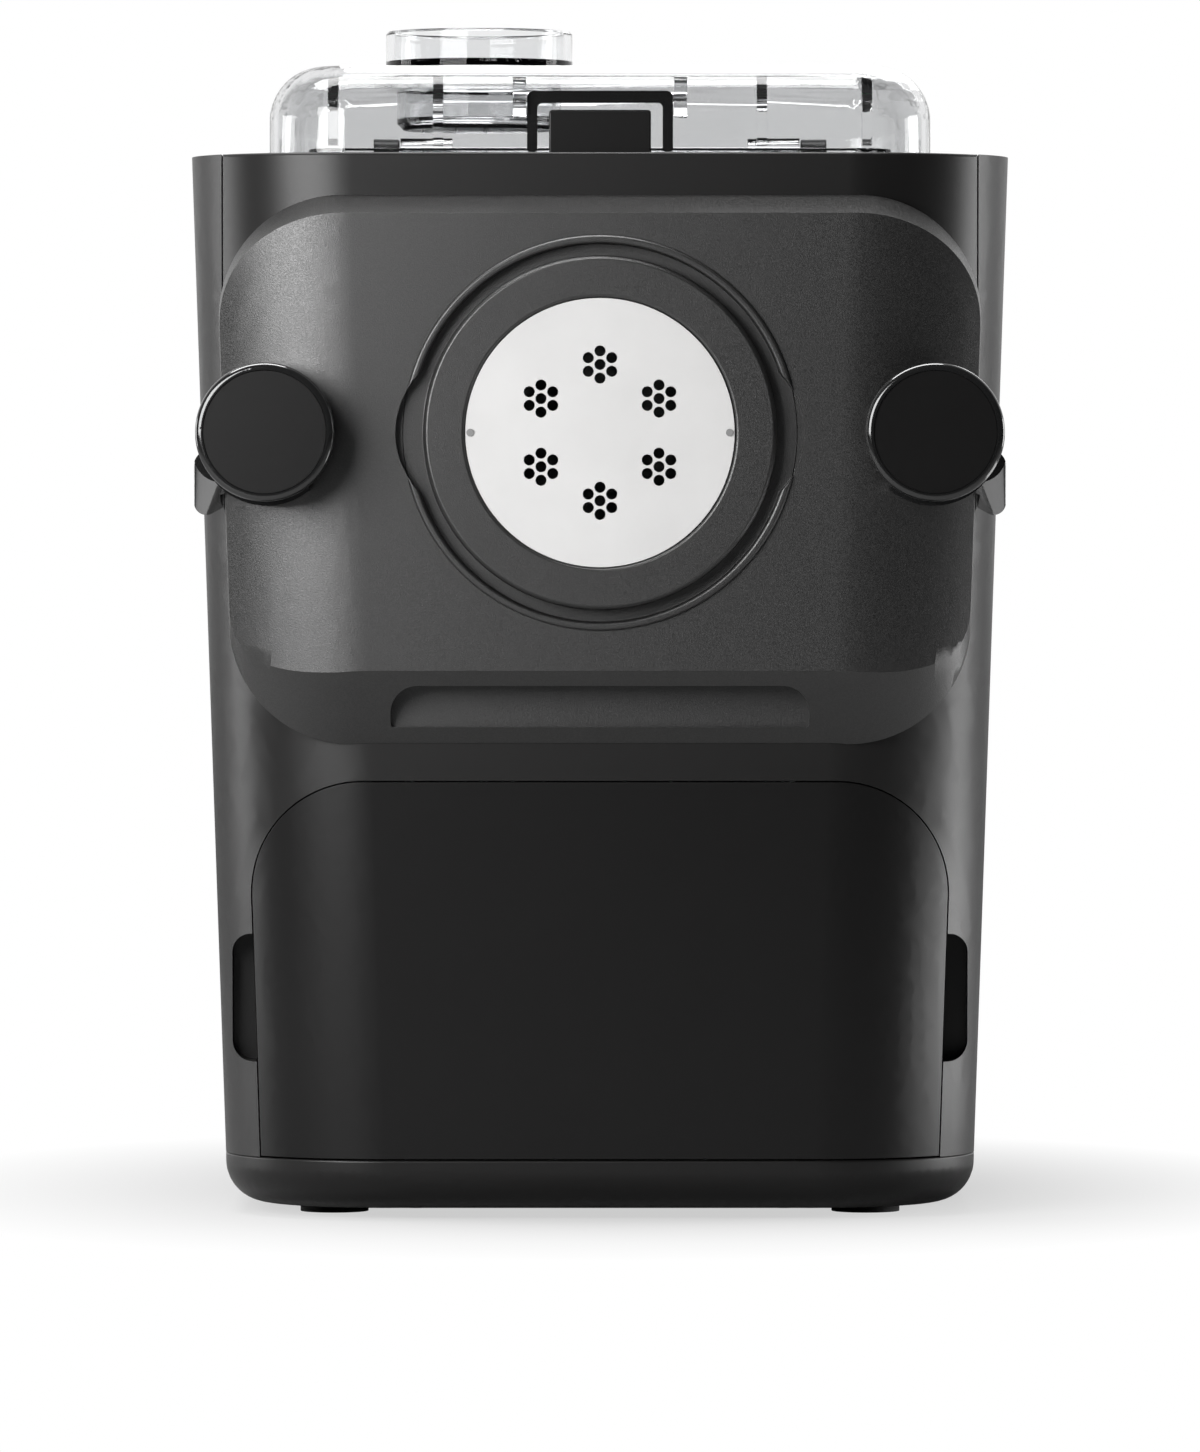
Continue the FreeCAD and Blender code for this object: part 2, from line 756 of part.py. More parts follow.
def clamps_and_knobs():
    front_form = tapered_block(panel_bottom, panel_top, panel_proud + seam_gap)
    body_form = tapered_block(panel_bottom, panel_top, face_gap + 0.1)
    hinge = (clamp_hinge_x, clamp_hinge_y)
    body_z = axis_height - clamp_drop
    body = rod_y(knob_axis_x, body_z, clamp_face, panel_face + clamp_body_depth, clamp_radius)
    body = body.common(box(clamp_hinge_x, far, -far, far, 0, far))
    body = body.cut(box(0, side_at_axis - clamp_flat_inset, -far, far, 0, body_z - clamp_radius / 2))
    front_arm = arm_outline(side_at_axis - tail_front_inset, tail_bottom + tail_drop,
                            arm_front_radius, clamp_face)
    rear_arm = arm_outline(side_at_axis + tail_rear_proud, tail_bottom, arm_tip_radius,
                           clamp_face + tail_length)
    arm = Part.makeLoft([front_arm, rear_arm], True, True)
    root = arm.common(box(0, far, -far, panel_face + clamp_body_depth, 0, far))
    shoulder = joined([body, root]).cut(front_form)
    tail = arm.common(box(side_at_axis - panel_side_inset + running_gap, far, -far, far, 0, far))
    tail = tail.cut(body_form)
    knuckle = rod_z(hinge[0], hinge[1], axis_height - clamp_knuckle_half_height,
                    axis_height + clamp_knuckle_half_height, clamp_knuckle_radius)
    shoulder = shoulder.fuse(knuckle).fuse(tail)
    ear_space = clamp_knuckle_radius + 3 * face_gap
    for middle in (axis_height + ear_offset, axis_height - ear_offset):
        half = clamp_ear_height / 2 + face_gap
        shoulder = shoulder.cut(rod_z(hinge[0], hinge[1], middle - half, middle + half, ear_space))
        shoulder = shoulder.cut(box(hinge[0] - 5, hinge[0] + ear_space, hinge[1] - 5, hinge[1] + 5,
                                    middle - half, middle + half))
    shoulder = shoulder.cut(rod_z(hinge[0], hinge[1], 0, far, clamp_pin_radius + pin_fit))
    shoulder = shoulder.cut(rod_y(knob_axis_x, axis_height, clamp_face - 1, clamp_face + 4,
                                  knob_stem_radius + pin_fit))
    shoulder = shoulder.removeSplitter()
    pin_half = ear_offset + clamp_ear_height / 2
    pin = rod_z(hinge[0], hinge[1], axis_height - pin_half, axis_height + pin_half, clamp_pin_radius)

    knob_front = -overall_depth / 2
    knob_back = clamp_face - face_gap
    step = knob_cap_radius + 0.2
    body = rod_y(knob_axis_x, axis_height, knob_front, knob_back, knob_radius)
    rim = [edge for edge in body.Edges if edge.BoundBox.YMax < knob_front + 0.01]
    back_rim = [edge for edge in body.Edges if edge.BoundBox.YMin > knob_back - 0.01]
    body = body.makeFillet(knob_edge_radius * 0.45, rim).makeFillet(1.2, back_rim[:1])
    seat = rod_y(knob_axis_x, axis_height, knob_front - 1, knob_front + knob_cap_thickness, step)
    stem = rod_y(knob_axis_x, axis_height, knob_back, clamp_face + 3.6, knob_stem_radius)
    knob = joined([body.cut(seat), stem])
    cap = rod_y(knob_axis_x, axis_height, knob_front + 0.5, knob_front + knob_cap_thickness,
                knob_cap_radius)

    for name, shape in (("clamp", shoulder), ("clamp_pin", pin), ("knob", knob), ("knob_cap", cap)):
        save(shape, "right_" + name)
        save(mirrored(shape), "left_" + name)


# Drawer

def drawer():
    front_back = front_plane + front_corner_radius
    front = tapered_block(base_seam - 1, drawer_top + 5, 0).cut(
        tapered_block(base_seam - 2, drawer_top + 6, -drawer_front_wall))
    front = front.common(drawer_prism(seam_gap, front_plane - 1, front_back))
    save(front.removeSplitter(), "drawer_front")
    y0 = front_plane + drawer_front_wall
    wall = drawer_tray_wall
    half = bottom_half_width - drawer_tray_inset
    tray = box(-half, half, y0, tray_rear, tray_bottom, drawer_tray_top)
    tray = tray.common(tapered_block(base_seam - 5, drawer_top, -drawer_front_wall))
    hollow = box(-half + wall, half - wall, drawer_hollow_front, drawer_hollow_rear,
                 tray_bottom + wall, drawer_tray_top + 1)
    save(tray.cut(hollow), "drawer_tray")


drawer_hollow_front = front_plane + front_corner_radius * 0.35
gear_plate_front = chamber_rear + gearbox_front
tray_rear = gear_plate_front - drawer_rear_space
drawer_hollow_rear = tray_rear - drawer_tray_wall


# Mixing chamber

def trough(radius, y0, y1):
    """A U-shaped form: round below its axis, upright above it."""
    lower = rod_y(0, axis_height, y0, y1, radius)
    upper = box(-radius, radius, y0, y1, axis_height, body_top + chamber_flange_thickness)
    return lower.fuse(upper)


def mixing_chamber():
    outer = trough(chamber_radius + chamber_wall, chamber_front, chamber_rear)
    inner = trough(chamber_radius, chamber_front + chamber_wall, chamber_rear - chamber_wall)
    flange_side = chamber_radius + chamber_flange_side
    flange = plate(-flange_side, flange_side, chamber_front - chamber_flange,
                   chamber_rear + chamber_flange, body_top, body_top + chamber_flange_thickness,
                   chamber_flange_radius)
    chamber = outer.fuse(flange).cut(inner)
    outlet = rod_y(0, axis_height, chamber_front - 1, chamber_front + chamber_wall + 1,
                   barrel_bore_radius + barrel_wall + outlet_fit)
    seal_radius = rod_boss_radius + chamber_seal_lip
    seal_hole = rod_y(0, axis_height, chamber_rear - 5, chamber_rear + 1, seal_radius)
    save(chamber.cut(outlet).cut(seal_hole).removeSplitter(), "mixing_chamber")
    save(ring_y(0, axis_height, chamber_rear - chamber_wall, chamber_rear + chamber_seal_proud,
                shaft_radius + face_gap, seal_radius), "chamber_seal")


# Lid, cup and latch

def rounded_dome(half, y0, y1, z0, z1, plan_radius, edge_radius):
    """A cover with rounded upright corners and a rounded top edge."""
    dome = plate(-half, half, y0, y1, z0, z1, plan_radius)
    top = [edge for edge in dome.Edges if edge.BoundBox.ZMin > z1 - 0.01]
    return dome.makeFillet(edge_radius, top)


lid_front = front_plane + lid_front_inset
lid_rear = chamber_rear + lid_rear_overlap
lid_half_width = top_half_width - lid_side_inset
lid_bottom = body_top + lid_seat_gap
lid_top = lid_bottom + lid_height
hinge_y = lid_rear + hinge_pin_setback
hinge_z = body_top + hinge_pin_rise
latch_top = body_top + lid_seat_gap + latch_height
latch_back = lid_front - latch_lid_gap
latch_y = latch_back - latch_thickness / 2
latch_z = latch_top - latch_bar / 2
cup_top = lid_top + cup_rise
cup_neck_radius = cup_radius - cup_neck_step


def lid():
    wall = lid_wall
    dome = rounded_dome(lid_half_width, lid_front, lid_rear, lid_bottom, lid_top, lid_plan_radius,
                        lid_edge_radius)
    inside = rounded_dome(lid_half_width - wall, lid_front + wall, lid_rear - wall, lid_bottom - 5,
                          lid_top - wall, lid_plan_radius - wall, lid_edge_radius - wall)
    shell = dome.cut(inside)
    ribs = []
    for x in rib_places:
        for side in (1, -1):
            middle = side * x
            ribs.append(box(middle - rib_thickness / 2, middle + rib_thickness / 2, lid_front + 1,
                            lid_front + rib_length, lid_top - wall - rib_drop, lid_top - 1))
    shell = shell.fuse(Part.makeCompound(ribs).common(dome))
    for side in (1, -1):
        middle = side * (latch_half_width + face_gap + latch_ear_width / 2)
        low = latch_z - latch_ear_height / 2
        ear = box(middle - latch_ear_width / 2, middle + latch_ear_width / 2,
                  lid_front - latch_ear_depth, lid_front + 1, low, low + latch_ear_height)
        front_edges = [edge for edge in ear.Edges if edge.BoundBox.YMax < lid_front - latch_ear_depth + 0.01
                       and edge.BoundBox.XLength > 1]
        shell = shell.fuse(ear.makeFillet(3.0, front_edges))
        inner = hinge_bracket_inner - lid_seat_gap - hinge_knuckle_width
        x0 = inner if side > 0 else -inner - hinge_knuckle_width
        knuckle = rod_x(x0, x0 + hinge_knuckle_width, hinge_y, hinge_z, hinge_knuckle_radius)
        web = box(x0, x0 + hinge_knuckle_width, lid_rear - 1, hinge_y, hinge_z - 3,
                  hinge_z + hinge_knuckle_radius)
        shell = shell.fuse(knuckle).fuse(web)
    shell = shell.cut(rod_x(-far, far, hinge_y, hinge_z, hinge_pin_radius + pin_fit))
    shell = shell.cut(rod_x(-latch_half_width - 6, latch_half_width + 6, latch_y, latch_z,
                            latch_pin_radius + pin_fit))
    shell = shell.cut(rod_z(cup_x, cup_y, lid_top - 30, lid_top + 1, cup_neck_radius + face_gap))
    save(shell.removeSplitter(), "lid")

    pin = rod_x(-hinge_pin_half_length, hinge_pin_half_length, hinge_y, hinge_z, hinge_pin_radius)
    save(pin, "lid_hinge_pin")
    brackets = []
    for side in (1, -1):
        x0 = hinge_bracket_inner if side > 0 else -hinge_bracket_inner - hinge_bracket_width
        block = box(x0, x0 + hinge_bracket_width, hinge_y - hinge_knuckle_radius,
                    hinge_y + hinge_knuckle_radius, body_top, hinge_z + hinge_knuckle_radius)
        tops = [edge for edge in block.Edges
                if edge.BoundBox.ZMin > hinge_z + hinge_knuckle_radius - 0.1
                and edge.BoundBox.XLength > 1]
        brackets.append(block.makeFillet(hinge_knuckle_radius * 0.8, tops))
    save(Part.makeCompound(brackets).cut(pin), "lid_hinge_brackets")


hinge_bracket_inner = hinge_pin_half_length - hinge_bracket_width


def filling_cup():
    neck = cup_neck_radius
    low = lid_top - cup_seat_depth
    shoulder = lid_top + face_gap
    profile = [(0, low), (neck - 2, low), (neck, low + 2), (neck, shoulder), (cup_radius - 1, shoulder),
               (cup_radius, shoulder + 1), (cup_radius, cup_top - 0.8), (cup_radius - 0.8, cup_top),
               (cup_radius - cup_wall + 0.6, cup_top), (cup_radius - cup_wall, cup_top - 0.6),
               (cup_radius - cup_wall, shoulder + cup_wall + 2), (neck - cup_wall, shoulder + cup_wall),
               (neck - cup_wall, low + cup_wall + 1), (neck - cup_wall - 1, low + cup_wall),
               (0, low + cup_wall)]
    save(turned_z(cup_x, cup_y, profile), "filling_cup")


def latch():
    low = latch_top - latch_height
    inner = latch_half_width - latch_leg
    corners = [(-latch_half_width, low), (-inner, low), (-inner, latch_top - latch_bar),
               (inner, latch_top - latch_bar), (inner, low), (latch_half_width, low),
               (latch_half_width, latch_top), (-latch_half_width, latch_top)]
    wire = rounded_wire(corners, [0.8, 0.8, 1.5, 1.5, 0.8, 0.8, 2.0, 2.0],
                        facing_front(latch_back - latch_thickness))
    frame = prism(wire, Vector(0, latch_thickness, 0))
    pins = []
    for side in (1, -1):
        x0 = latch_half_width - latch_leg if side > 0 else -latch_half_width - latch_ear_width
        pins.append(rod_x(x0, x0 + latch_leg + latch_ear_width, latch_y, latch_z, latch_pin_radius))
    pins = Part.makeCompound(pins)
    save(frame.cut(pins), "lid_latch")
    save(pins, "latch_pins")
    catch = box(-catch_half_width, catch_half_width, latch_back - latch_thickness, latch_back + 1.2,
                body_top, body_top + catch_height)
    tops = [edge for edge in catch.Edges if edge.BoundBox.ZMin > body_top + catch_height - 0.01]
    save(catch.makeFillet(1.0, tops), "latch_catch")


# Gears and shafts

def gear(teeth, module, x, z, y0, width, turned, bore):
    """A spur gear about Y with involute flanks; one tooth points at the angle turned."""
    pitch = module * teeth / 2
    base_circle = pitch * math.cos(math.radians(pressure_angle))
    tip = pitch + module
    root = pitch - 1.25 * module
    involute = math.tan(math.radians(pressure_angle)) - math.radians(pressure_angle)
    half_tooth = math.pi / (2 * teeth) - tooth_backlash / (2 * pitch) + involute

    def flank(radius):
        """The angle from the tooth's middle to its flank at a radius."""
        if radius <= base_circle:
            return half_tooth
        slope = math.acos(base_circle / radius)
        return half_tooth - (math.tan(slope) - slope)

    def at(radius, angle):
        return Vector(x + radius * math.cos(angle), y0, z + radius * math.sin(angle))

    edges = []
    low = max(base_circle, root)
    middle = (low + tip) / 2
    for tooth in range(teeth):
        centre = turned + 2 * math.pi * tooth / teeth
        following = centre + 2 * math.pi / teeth
        foot = at(root, centre - half_tooth)
        rise = at(low, centre - flank(low))
        if root < low - 1e-6:
            edges.append(Part.LineSegment(foot, rise).toShape())
        else:
            rise = at(root, centre - flank(root))
            foot = rise
        crest = at(tip, centre - flank(tip))
        edges.append(Part.Arc(rise, at(middle, centre - flank(middle)), crest).toShape())
        crest_end = at(tip, centre + flank(tip))
        edges.append(Part.Arc(crest, at(tip, centre), crest_end).toShape())
        fall = at(low, centre + flank(low))
        if root < low - 1e-6:
            edges.append(Part.Arc(crest_end, at(middle, centre + flank(middle)), fall).toShape())
            foot_end = at(root, centre + half_tooth)
            edges.append(Part.LineSegment(fall, foot_end).toShape())
            next_foot = at(root, following - half_tooth)
        else:
            foot_end = at(root, centre + flank(root))
            edges.append(Part.Arc(crest_end, at(middle, centre + flank(middle)), foot_end).toShape())
            next_foot = at(root, following - flank(root))
        edges.append(Part.Arc(foot_end, at(root, centre + math.pi / teeth), next_foot).toShape())
    blank = prism(Part.Wire(edges), Vector(0, width, 0))
    return blank.cut(rod_y(x, z, y0 - 1, y0 + width + 1, bore))


idler_axis_z = axis_height - output_module * (output_teeth + idler_pinion_teeth) / 2 - gear_axis_play
motor_axis_z = idler_axis_z - motor_module * (idler_gear_teeth + motor_pinion_teeth) / 2 - gear_axis_play
gear_plate_rear = gear_plate_front + gearbox_depth
output_gear_y = gear_plate_front + output_gear_inset
idler_gear_y = output_gear_y + output_gear_width + gear_space
motor_face = gear_plate_rear + plate_thickness + motor_boss_length
motor_rear = rear_plane - motor_rear_space


def kneading_parts():
    up = math.pi / 2
    gap_up = up + math.pi / output_teeth
    save(gear(output_teeth, output_module, 0, axis_height, output_gear_y, output_gear_width,
              -gap_up, shaft_radius), "output_gear")
    save(rod_y(0, axis_height, chamber_rear - shaft_socket_depth, gear_plate_rear + 2 * plate_thickness,
               shaft_radius), "drive_shaft")
    screw_front = bezel_back + running_gap
    screw_back = chamber_front + screw_reach
    boss_front = chamber_rear - rod_boss_front
    boss = rod_y(0, axis_height, boss_front, chamber_rear - rod_boss_rear, rod_boss_radius)
    rod = rod_y(0, axis_height, screw_back - screw_socket_depth, boss_front, rod_radius)
    rod = rod.fuse(boss)
    space = (chamber_rear - last_paddle - screw_back - first_paddle) / (paddle_count - 1)
    for index in range(paddle_count):
        y = screw_back + first_paddle + index * space
        tilt = paddle_tilt if index % 2 == 0 else -paddle_tilt
        reach = Vector(math.cos(math.radians(tilt)), 0, math.sin(math.radians(tilt)))
        start = Vector(0, y, axis_height) - reach * paddle_reach
        rod = rod.fuse(Part.makeCylinder(paddle_radius, 2 * paddle_reach, start, reach))
    rod = rod.cut(rod_y(0, axis_height, chamber_rear - shaft_socket_depth, chamber_rear, shaft_radius))
    save(rod.removeSplitter(), "kneading_rod")

    flight_radius = barrel_bore_radius - running_gap
    length = screw_back - screw_front
    turns = (length - screw_flight_thickness) / screw_pitch
    helix = Part.makeHelix(screw_pitch, screw_pitch * turns, flight_radius)
    inner = screw_core_radius - 1
    half = screw_flight_thickness / 2
    section = Part.makePolygon([Vector(inner, 0, -half), Vector(flight_radius, 0, -half * 0.6),
                                Vector(flight_radius, 0, half * 0.6), Vector(inner, 0, half),
                                Vector(inner, 0, -half)])
    sweep = Part.BRepOffsetAPI.MakePipeShell(Part.Wire(helix.Edges))
    sweep.setFrenetMode(True)
    sweep.add(section)
    sweep.build()
    sweep.makeSolid()
    flight = Part.Solid(sweep.shape()) if sweep.shape().ShapeType == "Shell" else sweep.shape()
    flight.rotate(Vector(0, 0, 0), Vector(1, 0, 0), 90)
    flight.translate(Vector(0, screw_back - half, axis_height))
    core = rod_y(0, axis_height, screw_front, screw_back, screw_core_radius)
    core = core.cut(rod_y(0, axis_height, screw_back - screw_socket_depth, screw_back + 1, rod_radius))
    screw = core.fuse(flight.cut(rod_y(0, axis_height, screw_front - 5, screw_back + 5,
                                       screw_core_radius - 0.5)))
    save(screw, "extruder_screw")


def gearbox():
    down = -math.pi / 2
    save(gear(idler_pinion_teeth, output_module, 0, idler_axis_z, output_gear_y, output_gear_width,
              math.pi / 2, idler_shaft_radius), "idler_pinion")
    save(gear(idler_gear_teeth, motor_module, 0, idler_axis_z, idler_gear_y, motor_gear_width,
              down + math.pi / idler_gear_teeth, idler_shaft_radius), "idler_gear")
    idler_bush = idler_shaft_radius + bush_wall
    spacer = ring_y(0, idler_axis_z, output_gear_y + output_gear_width, idler_gear_y,
                    idler_shaft_radius, idler_bush)
    save(spacer, "idler_spacer")
    save(rod_y(0, idler_axis_z, gear_plate_front - shaft_end,
               gear_plate_rear + plate_thickness + shaft_end, idler_shaft_radius), "idler_shaft")
    save(gear(motor_pinion_teeth, motor_module, 0, motor_axis_z, idler_gear_y, motor_gear_width,
              math.pi / 2, motor_shaft_radius), "motor_pinion")
    save(rod_y(0, motor_axis_z, idler_gear_y - shaft_end, motor_rear + shaft_tail, motor_shaft_radius),
         "motor_shaft")
    save(ring_y(0, motor_axis_z, motor_face + rotor_end_space, motor_rear - rotor_end_space,
                motor_shaft_radius, rotor_radius), "motor_rotor")

    bushes = []
    plate_ends = ((gear_plate_front, "gearbox_front_plate"), (gear_plate_rear, "gearbox_rear_plate"))
    for y, name in plate_ends:
        sheet = box(-plate_half_width, plate_half_width, y, y + plate_thickness,
                    foot_height + shell_wall, plate_top)
        for z, radius in ((axis_height, shaft_radius), (idler_axis_z, idler_shaft_radius)):
            outer = radius + bush_wall
            sheet = sheet.cut(rod_y(0, z, y - 1, y + plate_thickness + 1, outer))
            bushes.append(ring_y(0, z, y - 1, y + plate_thickness + 1, radius + pin_fit, outer))
        if y == gear_plate_rear:
            sheet = sheet.cut(rod_y(0, motor_axis_z, y - 1, y + plate_thickness + 1,
                                    motor_shaft_radius + motor_shaft_space))
        for x, z in pillar_places:
            sheet = sheet.cut(rod_y(x, z, y - 1, y + plate_thickness + 1, pillar_core_radius))
        save(sheet, name)
    save(Part.makeCompound(bushes), "gear_bushes")

    pillars = []
    for x, z in pillar_places:
        middle = rod_y(x, z, gear_plate_front + plate_thickness, gear_plate_rear, pillar_radius)
        core = rod_y(x, z, gear_plate_front, gear_plate_rear + plate_thickness, pillar_core_radius)
        pillars.append(middle.fuse(core).removeSplitter())
    save(Part.makeCompound(pillars), "gearbox_pillars")

    case = rod_y(0, motor_axis_z, motor_face, motor_rear, motor_radius)
    case = case.fuse(rod_y(0, motor_axis_z, motor_face - motor_boss_length, motor_face, motor_boss_radius))
    case = case.cut(rod_y(0, motor_axis_z, motor_face + motor_end_wall, motor_rear - motor_end_wall,
                          motor_radius - motor_wall))
    save(case.cut(rod_y(0, motor_axis_z, motor_face - 5, motor_rear + 1, motor_shaft_radius + pin_fit)),
         "motor_case")


pillar_heights = (plate_pillar_bottom, plate_top - plate_pillar_inset)
pillar_places = [(side * pillar_half_spacing, z) for side in (1, -1) for z in pillar_heights]


# Controls on the rear deck

def controls():
    y0 = control_y - control_length / 2
    y1 = control_y + control_length / 2
    top = body_top + control_thickness
    panel = plate(-control_half_width, control_half_width, y0, y1, body_top, top, control_corner_radius)
    lens_y = y1 - lens_inset - lens_length / 2
    lens_half_length = lens_length / 2
    lens_bottom = top - lens_thickness + lens_proud
    pocket = plate(-lens_half_width - lens_fit, lens_half_width + lens_fit,
                   lens_y - lens_half_length - lens_fit, lens_y + lens_half_length + lens_fit,
                   lens_bottom, top + 1, lens_corner_radius + lens_fit)
    panel = panel.cut(pocket)
    lens = plate(-lens_half_width, lens_half_width, lens_y - lens_half_length,
                 lens_y + lens_half_length, lens_bottom, top + lens_proud, lens_corner_radius)
    save(lens, "display_lens")
    button_y = y0 + button_inset
    board_top = body_top - board_drop
    switches = []
    names = ("program_button", "start_button", "power_button")
    for index, name in enumerate(names):
        x = (index - 1) * button_spacing
        panel = panel.cut(rod_z(x, button_y, body_top - 1, top + 1, button_radius + button_gap))
        key = rod_z(x, button_y, body_top - button_gap, top + button_rise, button_radius)
        top_edges = [edge for edge in key.Edges if edge.BoundBox.ZMin > top + button_rise - 0.01]
        key = key.makeFillet(button_edge_radius, top_edges)
        collar = rod_z(x, button_y, body_top - button_gap - button_collar, body_top - button_gap,
                       button_radius + button_collar_proud)
        stem = rod_z(x, button_y, board_top + switch_height + button_travel + button_gap,
                     body_top - button_gap - button_collar, button_stem_radius)
        save(joined([key, collar, stem]), name)
        half = switch_size / 2
        switches.append(box(x - half, x + half, button_y - half, button_y + half, board_top,
                            board_top + switch_height))
    save(Part.makeCompound(switches), "button_switches")
    posts = []
    for side in (1, -1):
        for y in (button_y - post_front, lens_y + post_rear):
            x = side * (board_half_width - post_side_inset)
            posts.append(rod_z(x, y, board_top, body_top, post_radius))
    save(joined([panel] + posts), "control_panel")
    board = box(-board_half_width, board_half_width, button_y - board_front,
                button_y - board_front + board_length, board_top - board_thickness, board_top)
    save(board, "circuit_board")


body_shells()
base()
rear()
front_panel()
extruder()
clamps_and_knobs()
drawer()
mixing_chamber()
lid()
filling_cup()
latch()
kneading_parts()
gearbox()
controls()
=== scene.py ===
import json
import math
from itertools import product

import bmesh
import bpy
from mathutils import Matrix, Vector


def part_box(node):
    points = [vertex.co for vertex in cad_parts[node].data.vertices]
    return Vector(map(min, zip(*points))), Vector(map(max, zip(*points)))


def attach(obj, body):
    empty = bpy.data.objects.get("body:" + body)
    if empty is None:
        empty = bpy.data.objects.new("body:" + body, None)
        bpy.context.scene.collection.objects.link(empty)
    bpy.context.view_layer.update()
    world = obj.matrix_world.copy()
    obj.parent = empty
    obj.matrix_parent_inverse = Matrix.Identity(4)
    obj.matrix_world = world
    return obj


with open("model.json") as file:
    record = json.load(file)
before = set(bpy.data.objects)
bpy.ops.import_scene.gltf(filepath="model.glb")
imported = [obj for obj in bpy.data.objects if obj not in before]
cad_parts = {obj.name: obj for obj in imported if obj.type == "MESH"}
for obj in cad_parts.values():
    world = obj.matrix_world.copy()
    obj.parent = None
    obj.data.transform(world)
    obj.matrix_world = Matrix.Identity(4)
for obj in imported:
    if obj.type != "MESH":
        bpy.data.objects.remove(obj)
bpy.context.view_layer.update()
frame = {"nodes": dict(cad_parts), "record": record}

nodes = frame["nodes"]
MM = 0.001


def in_scene(name, data):
    """A new object of the scene that shows this data."""
    thing = bpy.data.objects.new(name, data)
    bpy.context.scene.collection.objects.link(thing)
    return thing


def object_from(name, mesh, material):
    """An object from a mesh that already lies in its place."""
    data = bpy.data.meshes.new(name)
    mesh.to_mesh(data)
    mesh.free()
    data.materials.append(material)
    return in_scene(name, data)


# Camera at the photograph's viewing angle

EYE_DISTANCE = 3.102
EYE_HEIGHT = 0.200
IMAGE_HEIGHT = 1452
BODY_WIDTH = 0.240
BODY_WIDTH_PIXELS = 816.0
SILHOUETTE_Y = -0.102
HORIZON_ROW = 530.0
SENSOR = 36.0
NEAREST_SEEN = 0.05
FURTHEST_SEEN = 50.0


def make_camera():
    data = bpy.data.cameras.new("photo_camera")
    focal_pixels = (EYE_DISTANCE + SILHOUETTE_Y) * BODY_WIDTH_PIXELS / BODY_WIDTH
    data.sensor_width = SENSOR
    data.lens = SENSOR * focal_pixels / IMAGE_HEIGHT
    data.shift_y = -(IMAGE_HEIGHT / 2 - HORIZON_ROW) / IMAGE_HEIGHT
    data.clip_start = NEAREST_SEEN
    data.clip_end = FURTHEST_SEEN
    camera = in_scene("photo_camera", data)
    camera.location = (0.0, -EYE_DISTANCE, EYE_HEIGHT)
    camera.rotation_euler = (math.radians(90), 0.0, 0.0)
    bpy.context.scene.camera = camera


# Materials

TEXTURE_LOW = 0.3
TEXTURE_HIGH = 0.7


def new_material(name):
    material = bpy.data.materials.new(name)
    material.use_nodes = True
    tree = material.node_tree
    shader = tree.nodes["Principled BSDF"]
    return material, tree, shader


def set_inputs(node, **values):
    """Sets a node's named inputs to values."""
    for name, value in values.items():
        node.inputs[name.replace("_", " ")].default_value = value


def add(tree, kind, **values):
    """A new node with named inputs set to values."""
    node = tree.nodes.new(kind)
    set_inputs(node, **values)
    return node


def object_place(tree):
    return add(tree, "ShaderNodeTexCoord").outputs["Object"]


def stretched(tree, place, scale):
    """A place whose three sides are scaled apart."""
    node = add(tree, "ShaderNodeMapping", Scale=scale)
    tree.links.new(place, node.inputs["Vector"])
    return node.outputs["Vector"]


def noise(tree, place, scale, detail=3.0, roughness=0.55):
    node = add(tree, "ShaderNodeTexNoise", Scale=scale, Detail=detail, Roughness=roughness)
    tree.links.new(place, node.inputs["Vector"])
    return node.outputs["Fac"]


def spread(tree, value, low, high, start=TEXTURE_LOW, end=TEXTURE_HIGH):
    """Maps a texture's value to a range."""
    node = add(tree, "ShaderNodeMapRange", From_Min=start, From_Max=end, To_Min=low, To_Max=high)
    tree.links.new(value, node.inputs["Value"])
    return node.outputs["Result"]


def shades(tree, value, dark, light, start=TEXTURE_LOW, end=TEXTURE_HIGH):
    """A colour between two shades by a texture's value."""
    ramp = tree.nodes.new("ShaderNodeValToRGB")
    ramp.color_ramp.elements[0].position = start
    ramp.color_ramp.elements[0].color = (*dark, 1.0)
    ramp.color_ramp.elements[1].position = end
    ramp.color_ramp.elements[1].color = (*light, 1.0)
    tree.links.new(value, ramp.inputs["Fac"])
    return ramp.outputs["Color"]


def uneven_sheen(tree, shader, value, rough, below, above, start=TEXTURE_LOW, end=TEXTURE_HIGH):
    """A roughness that varies below and above its mean by a texture's value."""
    varied = spread(tree, value, rough - below, rough + above, start, end)
    tree.links.new(varied, shader.inputs["Roughness"])


def bump(tree, shader, height, strength, distance):
    node = add(tree, "ShaderNodeBump", Strength=strength, Distance=distance)
    tree.links.new(height, node.inputs["Height"])
    tree.links.new(node.outputs["Normal"], shader.inputs["Normal"])


DRIFT_SCALE = 40.0
GRAIN_DETAIL = 2.0
GRAIN_BREAKUP = 0.6
GRAIN_STRENGTH = 0.35
COAT_ROUGHNESS = 0.05


def moulded_plastic(name, dark, light, rough, grain_scale, grain_depth, gloss=0.5, coat=0.0):
    """Moulded plastic: a fine grain, slow colour drift and uneven sheen."""
    material, tree, shader = new_material(name)
    place = object_place(tree)
    drift = noise(tree, place, DRIFT_SCALE)
    grain = noise(tree, place, grain_scale, GRAIN_DETAIL, GRAIN_BREAKUP)
    tree.links.new(shades(tree, drift, dark, light), shader.inputs["Base Color"])
    uneven_sheen(tree, shader, grain, rough, below=0.02, above=0.03)
    bump(tree, shader, grain, GRAIN_STRENGTH, grain_depth)
    set_inputs(shader, Specular_IOR_Level=gloss, Coat_Weight=coat, Coat_Roughness=COAT_ROUGHNESS)
    return material


